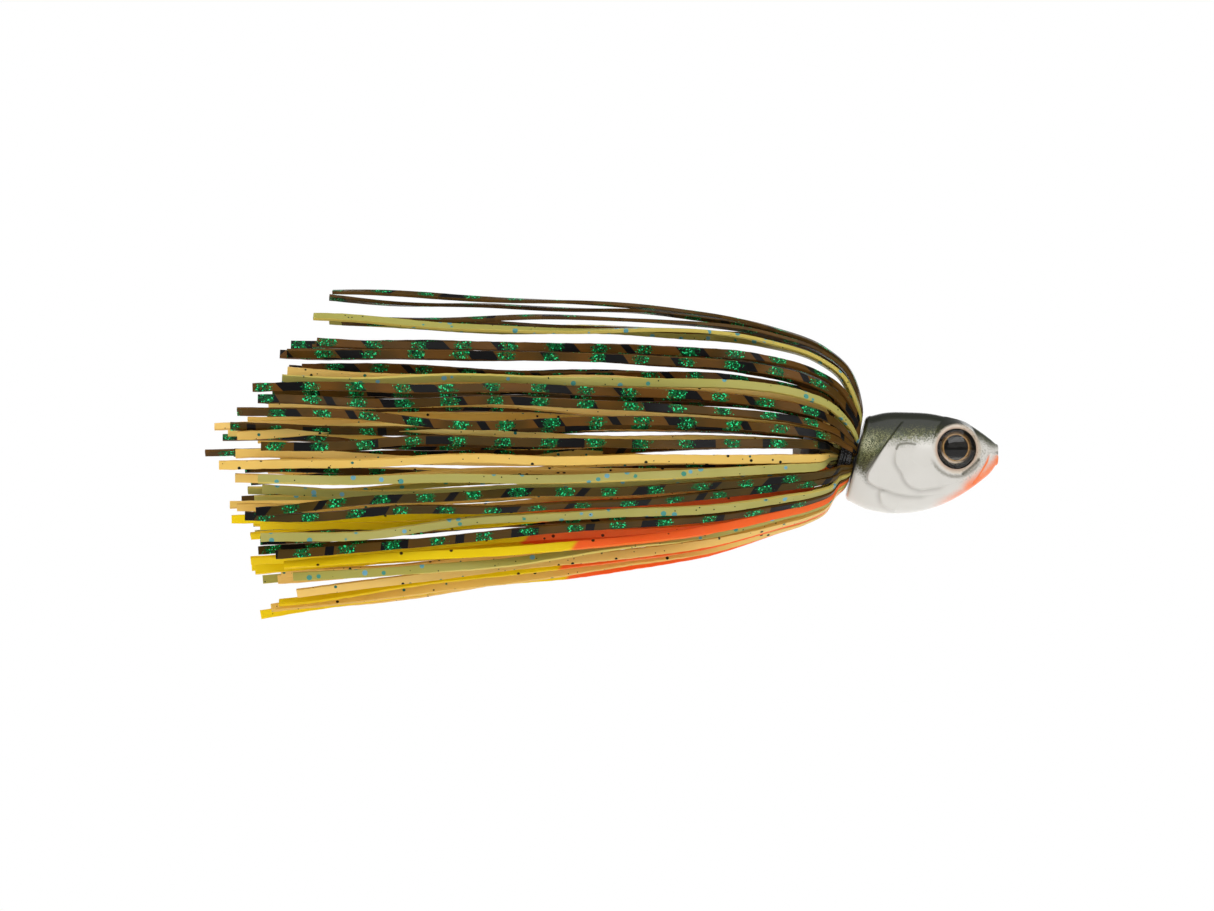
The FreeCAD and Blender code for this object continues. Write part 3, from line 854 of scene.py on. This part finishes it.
def head_paint():
    """Airbrushed fish paint: dark metallic back over pearl white, orange jaw, speckled fades, and a clear coat."""
    s = Shader("airbrushed_fish_paint")
    place = s.coordinates()
    x, _, z = s.parts(place)
    x_mm, z_mm = s.mul(x, 1000.0), s.mul(z, 1000.0)
    spray = s.noise(SPRAY_SCALE, 2.0, place)
    cloud = s.noise(420.0, 3.0, place)
    drift = s.add(s.swing(spray, 2.4), s.swing(cloud, 1.2))
    speckled_z = s.add(z_mm, s.mul(drift, s.range(x_mm, -4.8, -2.8, 1.0, 0.4)))

    pearl = s.mix(s.noise(180.0, 2.0, place), srgb(192, 189, 182), srgb(207, 204, 198))
    flakes = s.voronoi(FLAKE_SCALE, place, "Color")
    flake_value = s.parts(flakes)[0]
    olive = s.mix(s.range(flake_value, 0.3, 1.0), srgb(50, 52, 24), srgb(128, 128, 84))
    olive = s.mix(s.range(cloud, 0.35, 0.7), olive, s.mix(0.5, olive, srgb(56, 70, 34)))
    olive = s.mix(s.range(z_mm, 0.6, -2.6), olive, s.mix(0.65, olive, srgb(52, 44, 22)))
    # painted highlight: a lighter, sparkling olive band along the rear edge, where the curving surface catches the
    # light
    painted_highlight = s.mul(s.range(s.away(z_mm, 1.4), 1.9, 0.2), s.range(x_mm, -18.0, -19.6, 0.0, 0.75),
                  s.range(flake_value, 0.1, 0.9))
    olive = s.mix(painted_highlight, olive, srgb(186, 184, 150))
    dark = s.mix(flake_value, srgb(12, 14, 8), srgb(40, 44, 28))

    # the line where the back's colour fades out drops behind the gill cover and towards the nose
    gill = s.attribute("gill_distance")
    behind_gill = s.mul(s.range(gill, 0.05, -0.25), s.range(z_mm, -6.6, -4.6), s.range(x_mm, -15.0, -16.8))
    low_rear = s.add(s.mul(x_mm, -0.9), -22.2)
    fade_line = s.mix(behind_gill, s.range(x_mm, -15.0, -9.0, 1.4, 2.0), low_rear)
    fade_line = s.mix(s.range(x_mm, -5.2, -3.0), fade_line, s.range(x_mm, -3.2, -0.8, 2.1, 0.9))
    fade_height = s.sub(speckled_z, fade_line)
    paint = s.mix(s.range(fade_height, -0.9, 1.2), pearl, olive)
    back_line, nose_line = s.range(x_mm, -20.0, -8.0, 3.2, 3.1), s.range(x_mm, -2.8, -0.8, 2.1, 1.2)
    dark_line = s.mix(s.range(x_mm, -5.5, -2.5), back_line, nose_line)
    paint = s.mix(s.range(s.sub(speckled_z, dark_line), -1.1, 1.1), paint, dark)

    # cream ring round the eye, with painted shade, speckled dark, along its lower edge below the raised rim
    eye = s.attribute("eye_distance")
    ring_speckle = s.add(eye, s.swing(spray, 0.5))
    under_ring_shade = s.mul(s.range(s.away(ring_speckle, 4.15), 0.45, 0.05), s.range(z_mm, -0.5, -2.4))
    paint = s.mix(s.mul(under_ring_shade, 0.55), paint, srgb(70, 64, 40))
    cream = s.mix(s.noise(500.0, 2.0, place), srgb(164, 136, 118), srgb(190, 172, 154))
    cream = s.mix(s.range(eye, 3.15, 3.6), cream, srgb(196, 184, 168))
    ring_edge = s.sub(ring_speckle, s.mul(s.add(x_mm, 6.6), 0.07))
    paint = s.mix(s.range(ring_edge, 3.95, 3.5), paint, cream)
    paint = s.mix(s.range(eye, 3.10, 3.0), paint, srgb(30, 22, 14))

    # painted shade: dark strokes in the cast lines' grooves and creases; and loose specks of spray between the eye
    # and the mouth
    cheek_groove_shade = s.add(s.attribute("cheek_groove_distance"), s.swing(spray, 0.6))
    paint = s.mix(s.mul(s.range(cheek_groove_shade, 0.36, 0.05), 0.85), paint, srgb(52, 48, 30))
    freckles = s.mul(s.range(eye, 6.2, 4.2), s.range(x_mm, -7.5, -4.5), s.range(spray, 0.52, 0.64))
    paint = s.mix(s.mul(freckles, 0.5), paint, srgb(92, 88, 58))
    # painted shade: a dark line along the top of the cheek line
    cheek = s.add(s.attribute("cheek_distance"), s.swing(spray, 0.3))
    paint = s.mix(s.mul(s.range(cheek, 0.3, 0.02), 0.7), paint, srgb(66, 66, 46))
    # painted shade: a dark line in the gill cover's crease, on the olive upper part
    crease = s.range(s.away(gill, -0.1), 0.22, 0.0)
    upper = s.range(z_mm, -4.2, -1.0)
    paint = s.mix(s.mul(crease, upper, 0.75), paint, srgb(40, 42, 28))
    # painted shade: a soft grey band in the crease beside each plate edge, on the white lower sides
    for line, strength in (("gill_distance", 0.35), ("cheek_line_distance", 0.3), ("fin_distance", 0.3)):
        shaded = s.range(s.add(s.attribute(line), 0.16), 0.45, 0.0)
        lit_side = s.range(s.attribute(line), 0.35, -0.1)
        behind = s.range(s.attribute(line), -0.9, -0.05)
        painted_crease_shade = s.mul(lit_side, behind, s.range(z_mm, 0.5, -1.5))
        paint = s.mix(s.mul(shaded, painted_crease_shade, strength), paint, srgb(142, 138, 132))

    # orange-red lower jaw, fading back along the belly
    mouth = s.attribute("mouth_distance")
    keel = s.add(s.attribute("keel_height"), s.swing(spray, 1.2))
    belly = s.mul(s.range(keel, 1.7, 0.2), s.range(x_mm, -11.0, -5.5))
    lip_edge = s.mul(s.range(keel, 2.7, 0.4), s.range(x_mm, -6.5, -4.5))
    in_jaw = s.mul(s.range(mouth, -0.1, 0.25), s.range(x_mm, -5.2, -3.4))
    lip_line = s.mul(s.range(s.math("ABSOLUTE", mouth), 0.26, 0.04), s.range(x_mm, -5.0, -4.2),
                     s.range(z_mm, 0.2, -1.6))
    jaw = s.math("MAXIMUM", lip_line, s.math("MAXIMUM", lip_edge, s.mul(in_jaw, 0.03)))
    orange_share = s.mul(s.math("MAXIMUM", s.mul(belly, 0.75), jaw), s.range(z_mm, -0.15, -0.6))
    orange = s.mix(cloud, srgb(230, 106, 42), srgb(238, 130, 66))
    paint = s.mix(orange_share, paint, orange)

    bare_lead = s.mix(s.noise(900.0, 3.0, place), srgb(70, 70, 72), srgb(120, 120, 124))
    colour = s.mix(s.attribute("painted"), bare_lead, paint)
    skin = s.add(s.mul(s.noise(900.0, 2.0, place), 0.6), s.mul(spray, 0.4))
    metal = s.mul(s.range(fade_height, -0.6, 1.2), s.range(flake_value, 0.3, 1.0), 0.35)
    body = s.principled(
        Base_Color=colour, Metallic=metal, Roughness=s.range(flake_value, 0.0, 1.0, 0.30, 0.45),
        Specular_IOR_Level=0.3, Coat_Weight=0.25, Coat_Roughness=0.08, Normal=s.bump(skin, 0.25, 0.00004),
    )
    return s.finish(body)


def eye_foil():
    """Printed iris: black pupil, copper ring, pale crescent below it, dark rim."""
    s = Shader("printed_iris_foil")
    iris = s.attribute("iris")
    place = s.attribute("iris_place", "Vector")
    x, _, z = s.parts(place)
    mottle = s.noise(2.2, 4.0, place)
    fine = s.noise(9.0, 2.0, place)
    wobble = s.add(iris, s.swing(mottle, 0.07))
    rim = s.mix(s.range(mottle, 0.4, 0.7), srgb(12, 8, 5), srgb(52, 36, 16))
    glow = s.mix(fine, srgb(74, 54, 24), srgb(128, 96, 44))
    colour = s.mix(s.range(s.away(wobble, 0.76), 0.10, 0.01), rim, glow)
    lower = s.add(s.mul(z, -0.8), s.mul(x, -0.35))
    crescent = s.mul(s.range(s.away(wobble, 0.755), 0.075, 0.035), s.range(lower, 0.9, 1.7))
    colour = s.mix(crescent, colour, srgb(255, 236, 220))
    gold = s.mix(s.range(fine, 0.38, 0.62), srgb(140, 92, 40), srgb(250, 206, 132))
    ring = s.range(s.away(wobble, 0.68), 0.05, 0.02)
    colour = s.mix(ring, colour, gold)
    colour = s.mix(s.range(wobble, 0.655, 0.635), colour, srgb(7, 7, 8))
    body = s.principled(
        Base_Color=colour, Metallic=s.mul(ring, 0.3), Roughness=s.range(fine, 0.0, 1.0, 0.42, 0.6),
        Specular_IOR_Level=0.04, Normal=s.bump(fine, 0.15, 0.00003),
    )
    return s.finish(body)


def eye_lens():
    """Clear epoxy: shows the foil, and mirrors the studio by Fresnel."""
    s = Shader("clear_epoxy_lens")
    haze = s.noise(900.0, 3.0)
    clear = s.node("ShaderNodeBsdfTransparent", {"Color": s.mix(haze, srgb(246, 243, 236), srgb(252, 251, 248))})
    gloss = s.node("ShaderNodeBsdfGlossy", {"Roughness": 0.015})
    fresnel = s.node("ShaderNodeFresnel", {"IOR": 1.42})
    return s.finish(s.both(fresnel.outputs[0], clear, gloss))


def tube_plastic():
    """Milky tube with faint draw lines."""
    s = Shader("milky_line_tube")
    x, y, z = s.parts(s.coordinates())
    lines = s.noise(1.0, 2.0, s.vector(s.mul(x, 90.0), s.mul(y, 6000.0), s.mul(z, 6000.0)))
    colour = s.mix(lines, srgb(196, 190, 176), srgb(226, 222, 210))
    front = s.principled(
        Base_Color=colour, Roughness=s.range(lines, 0, 1, 0.25, 0.4), Normal=s.bump(lines, 0.2, 0.00002),
    )
    glow = s.node("ShaderNodeBsdfTranslucent", {"Color": colour})
    return s.finish(s.both(0.35, front, glow))


def dots(s, place, scale, size, keep):
    """Round dots over a strand, in a share keep of a pattern's cells: where they are, and each one's hue."""
    inside = s.range(s.voronoi(scale, place), size, size - 0.07)
    chance, hue, _ = s.parts(s.voronoi(scale, place, "Color"))
    return s.mul(inside, s.math("LESS_THAN", chance, keep)), hue


def strand_inputs(s, tone_scale):
    """A strand's pattern place, its parts along and across, its own chance, its edges, and a slow tone."""
    place = s.attribute("strand_place", "Vector")
    along, across, _ = s.parts(place)
    return (place, along, across, s.attribute("strand_chance"), s.attribute("strand_edge"),
            s.noise(tone_scale, 2.0, place))


def silicone(s, colour, see_through, glitter=None):
    """Soft rubber skin: satin, a little light through it, with faint sheet texture along the run."""
    place = s.attribute("strand_place", "Vector")
    along, across, depth = s.parts(place)
    grain = s.noise(1.0, 3.0, s.vector(s.mul(along, 0.6), s.mul(across, 5.0), depth))
    height = grain if glitter is None else s.add(grain, s.mul(glitter, 1.2))
    shine = s.range(grain, 0.2, 0.8, 0.26, 0.42)
    body = s.principled(
        Base_Color=colour, Roughness=shine, Specular_IOR_Level=0.14, Normal=s.bump(height, 0.35, 0.00006),
    )
    glow = s.node("ShaderNodeBsdfTranslucent", {"Color": colour})
    return s.finish(s.both(see_through, body, glow))


def barred_silicone():
    """Brown translucent strand with hard black bars, short and long by turns, and patches of green glitter."""
    s = Shader("barred_glitter_silicone")
    place, along, across, chance, edge, tone = strand_inputs(s, 0.14)
    brown = s.mix(chance, srgb(68, 54, 10), srgb(108, 68, 20))
    brown = s.mix(s.range(tone, 0.35, 0.65), brown, s.mix(0.6, brown, srgb(52, 44, 12)))
    brown = s.mix(s.mul(edge, 0.3), brown, srgb(120, 84, 40))

    slanted = s.add(along, s.mul(across, s.range(chance, 0, 1, -1.0, 1.0)))
    bar_turn = s.add(s.math("DIVIDE", slanted, BAR_REPEAT), s.mul(chance, 7.0))
    turn = s.math("FRACT", bar_turn)
    short = s.math("LESS_THAN", s.away(turn, 0.25), 0.034)
    long = s.math("LESS_THAN", s.away(turn, 0.75), 0.105)
    on_face = s.sub(1.0, edge)
    bars = s.mul(s.math("MAXIMUM", short, long), s.range(on_face, 0.1, 0.4, 0.25, 1.0))
    colour = s.mix(bars, brown, srgb(11, 10, 11))

    patch_turn = s.add(s.math("DIVIDE", along, PATCH_REPEAT), s.mul(chance, 11.0))
    centre = s.away(s.math("FRACT", patch_turn), 0.5)
    ragged = s.noise(1.5, 4.0, place, 0.75)
    drift = s.sub(s.noise(0.35, 1.0, place), 0.5)
    reach = s.add(centre, s.swing(ragged, 0.62))
    off_centre = s.math("ABSOLUTE", s.add(across, s.mul(drift, 1.2)))
    reach = s.add(reach, s.mul(s.math("POWER", off_centre, 2.0), 0.12))
    patch = s.mul(s.range(reach, 0.19, 0.17), s.range(along, 7.0, 11.0))
    flakes = s.parts(s.voronoi(6.0, place, "Color"))
    green = s.mix(s.range(flakes[0], 0.1, 0.8), srgb(0, 40, 18), srgb(2, 110, 52))
    green = s.mix(s.math("GREATER_THAN", flakes[1], 0.88), green, srgb(50, 240, 150))
    holes = s.math("GREATER_THAN", flakes[2], 0.2)
    patch = s.mul(patch, holes, s.math("GREATER_THAN", on_face, 0.3))
    colour = s.mix(patch, colour, green)
    return silicone(s, colour, 0.2, patch)


def olive_silicone():
    """Olive strand with paler edges and sparse round blue-green dots."""
    s = Shader("olive_dotted_silicone")
    place, _, _, chance, edge, tone = strand_inputs(s, 0.12)
    colour = s.mix(tone, srgb(172, 166, 84), srgb(196, 188, 118))
    colour = s.mix(s.mul(chance, 0.4), colour, srgb(178, 174, 66))
    colour = s.mix(s.mul(edge, 0.7), colour, srgb(232, 206, 104))
    spot, hue = dots(s, place, 0.72, 0.33, 0.30)
    colour = s.mix(spot, colour, s.mix(hue, srgb(70, 150, 130), srgb(120, 180, 205)))
    speck, hue = dots(s, place, 1.9, 0.26, 0.07)
    colour = s.mix(speck, colour, srgb(36, 48, 30))
    return silicone(s, colour, 0.30)


def amber_silicone():
    """Clear amber strand with small dark and teal dots."""
    s = Shader("amber_dotted_silicone")
    place, _, _, chance, edge, tone = strand_inputs(s, 0.12)
    colour = s.mix(tone, srgb(246, 210, 120), srgb(253, 228, 152))
    colour = s.mix(s.mul(chance, 0.5), colour, srgb(240, 208, 92))
    colour = s.mix(s.mul(edge, 0.45), colour, srgb(206, 164, 72))
    spot, hue = dots(s, place, 0.9, 0.26, 0.26)
    colour = s.mix(spot, colour, s.mix(s.range(hue, 0.55, 0.65), srgb(24, 34, 26), srgb(40, 122, 116)))
    speck, hue = dots(s, place, 2.2, 0.24, 0.06)
    colour = s.mix(speck, colour, srgb(60, 36, 16))
    return silicone(s, colour, 0.42)


def two_tone_silicone():
    """Strand that is orange from the head and yellow to its tip, changing across a short slanted edge."""
    s = Shader("orange_yellow_silicone")
    place, along, across, chance, edge, tone = strand_inputs(s, 0.14)
    orange = s.mix(tone, srgb(255, 104, 34), srgb(255, 134, 66))
    yellow = s.mix(tone, srgb(240, 212, 6), srgb(250, 228, 34))
    change = s.add(s.range(chance, 0, 1, *COLOUR_CHANGE), s.mul(across, 0.8))
    colour = s.mix(s.range(s.sub(along, change), -0.5, 0.5), orange, yellow)
    colour = s.mix(s.mul(edge, 0.3), colour, srgb(206, 150, 20))
    spot, hue = dots(s, place, 0.8, 0.24, 0.16)
    colour = s.mix(spot, colour, s.mix(hue, srgb(90, 44, 14), srgb(40, 60, 20)))
    return silicone(s, colour, 0.40)


def roots_silicone():
    """Strands drawn together: each root takes one of the skirt's colours, with painted shade, near black, in the
    grooves between.
    """
    s = Shader("gathered_silicone")
    number = s.attribute("root_number")
    chance = s.node("ShaderNodeTexWhiteNoise", {"W": s.math("FLOOR", number)}, noise_dimensions="1D")
    pick = chance.outputs["Value"]
    grain = s.noise(2400.0, 3.0)
    colour = s.mix(s.math("GREATER_THAN", pick, 0.55), srgb(64, 48, 20), srgb(126, 118, 52))
    colour = s.mix(s.math("GREATER_THAN", pick, 0.82), colour, srgb(190, 140, 60))
    # painted shade: dark in the grooves between the roots
    colour = s.mix(s.range(s.attribute("groove"), 0.6, 0.1), colour, srgb(20, 15, 8))
    colour = s.mix(s.mul(grain, 0.3), colour, srgb(30, 24, 12))
    body = s.principled(
        Base_Color=colour, Roughness=s.range(grain, 0.2, 0.8, 0.3, 0.5), Normal=s.bump(grain, 0.3, 0.00005),
    )
    return s.finish(body)


def waxed_thread():
    """Black waxed thread with its twist showing."""
    s = Shader("black_waxed_thread")
    along, round_it, _ = s.parts(s.attribute("thread_place", "Vector"))
    twist = s.math("SINE", s.add(s.mul(along, 14.0), round_it))
    wax = s.noise(3000.0, 2.0)
    colour = s.mix(s.range(twist, -1, 1), srgb(10, 10, 12), srgb(36, 36, 40))
    body = s.principled(
        Base_Color=colour, Roughness=s.range(wax, 0.3, 0.7, 0.16, 0.34), Coat_Weight=0.6, Coat_Roughness=0.1,
        Normal=s.bump(s.add(twist, wax), 0.5, 0.00004),
    )
    return s.finish(body)


def stage_paper():
    """Lit table paper that takes the part's soft shadow near it and glows as white as the room further off."""
    s = Shader("pale_floor")
    place = s.coordinates()
    tone = s.noise(40.0, 2.0, place)
    far = s.range(s.node("ShaderNodeVectorMath", {0: place}, operation="LENGTH").outputs["Value"], 0.2, 0.55)
    paper = s.mix(tone, srgb(236, 236, 235), srgb(242, 242, 241))
    body = s.principled(
        Base_Color=s.mix(far, paper, srgb(0, 0, 0)), Roughness=0.95, Specular_IOR_Level=0.0,
        Emission_Color=(1.0, 1.0, 1.0, 1.0), Emission_Strength=s.add(s.mul(far, 0.4), 0.6),
    )
    return s.finish(body)


# ---------------------------------------------------------------- stage


def make_stage():
    """Pale floor below the part, soft lights, and the camera that looks at the fish's right side."""
    scene = bpy.context.scene
    mesh = bpy.data.meshes.new("floor")
    left, right, near, far, drop = -2.5, 2.5, -2.5, 0.6, -0.15
    corners = [(left, near, drop), (right, near, drop), (right, far, drop), (left, far, drop)]
    mesh.from_pydata(corners, [], [(0, 1, 2, 3)])
    floor = bpy.data.objects.new("floor", mesh)
    floor.data.materials.append(stage_paper())
    scene.collection.objects.link(floor)

    # the room is seen white, and lights the part only faintly
    s = Shader("studio", "worlds")
    seen = s.node("ShaderNodeBackground", {"Color": (1, 1, 1, 1), "Strength": 1.0})
    lighting = s.node("ShaderNodeBackground", {"Color": (1.0, 0.99, 0.98, 1), "Strength": 0.2})
    to_camera = s.node("ShaderNodeLightPath").outputs["Is Camera Ray"]
    scene.world = s.finish(s.both(to_camera, lighting, seen), "ShaderNodeOutputWorld")

    middle = Vector((-0.055, 0.0, 0.0))
    lights = {
        # name: (from, size across, size up, watts)
        "softbox_above": ((-0.04, -0.18, 0.46), 0.90, 0.55, 2.4),
        "window_front": ((0.17, -0.46, 0.30), 0.58, 0.18, 1.25),
        "fill_left": ((-0.50, -0.40, 0.10), 0.50, 0.40, 0.65),
        "table_behind": ((-0.06, 0.42, -0.04), 0.60, 0.50, 1.5),
        "table_below": ((-0.07, -0.30, -0.34), 0.60, 0.40, 0.7),
    }
    for name, (place, across, up, watts) in lights.items():
        data = bpy.data.lights.new(name, "AREA")
        data.shape = "RECTANGLE"
        data.size, data.size_y = across, up
        data.energy = watts
        lamp = bpy.data.objects.new(name, data)
        lamp.location = place
        lamp.rotation_euler = (middle - Vector(place)).to_track_quat("-Z", "Y").to_euler()
        lamp.visible_camera = False
        scene.collection.objects.link(lamp)

    data = bpy.data.cameras.new("camera")
    data.sensor_width = 36.0
    data.lens = 120.0
    data.clip_start, data.clip_end = 0.01, 10.0
    camera = bpy.data.objects.new("camera", data)
    camera.location = (-0.0591, -0.612, -0.0005)
    camera.rotation_euler = (math.radians(90), 0, 0)
    scene.collection.objects.link(camera)
    scene.camera = camera
    scene.view_settings.view_transform = "Standard"


make_stage()
make_head(head_paint())
make_tube(tube_plastic())
foil, lens = eye_foil(), eye_lens()
for side_name in SIDES:
    make_eye(side_name, foil, lens)
make_roots(roots_silicone())
make_thread(waxed_thread())
make_strands({
    "barred": barred_silicone(),
    "olive": olive_silicone(),
    "amber": amber_silicone(),
    "two_tone": two_tone_silicone(),
})
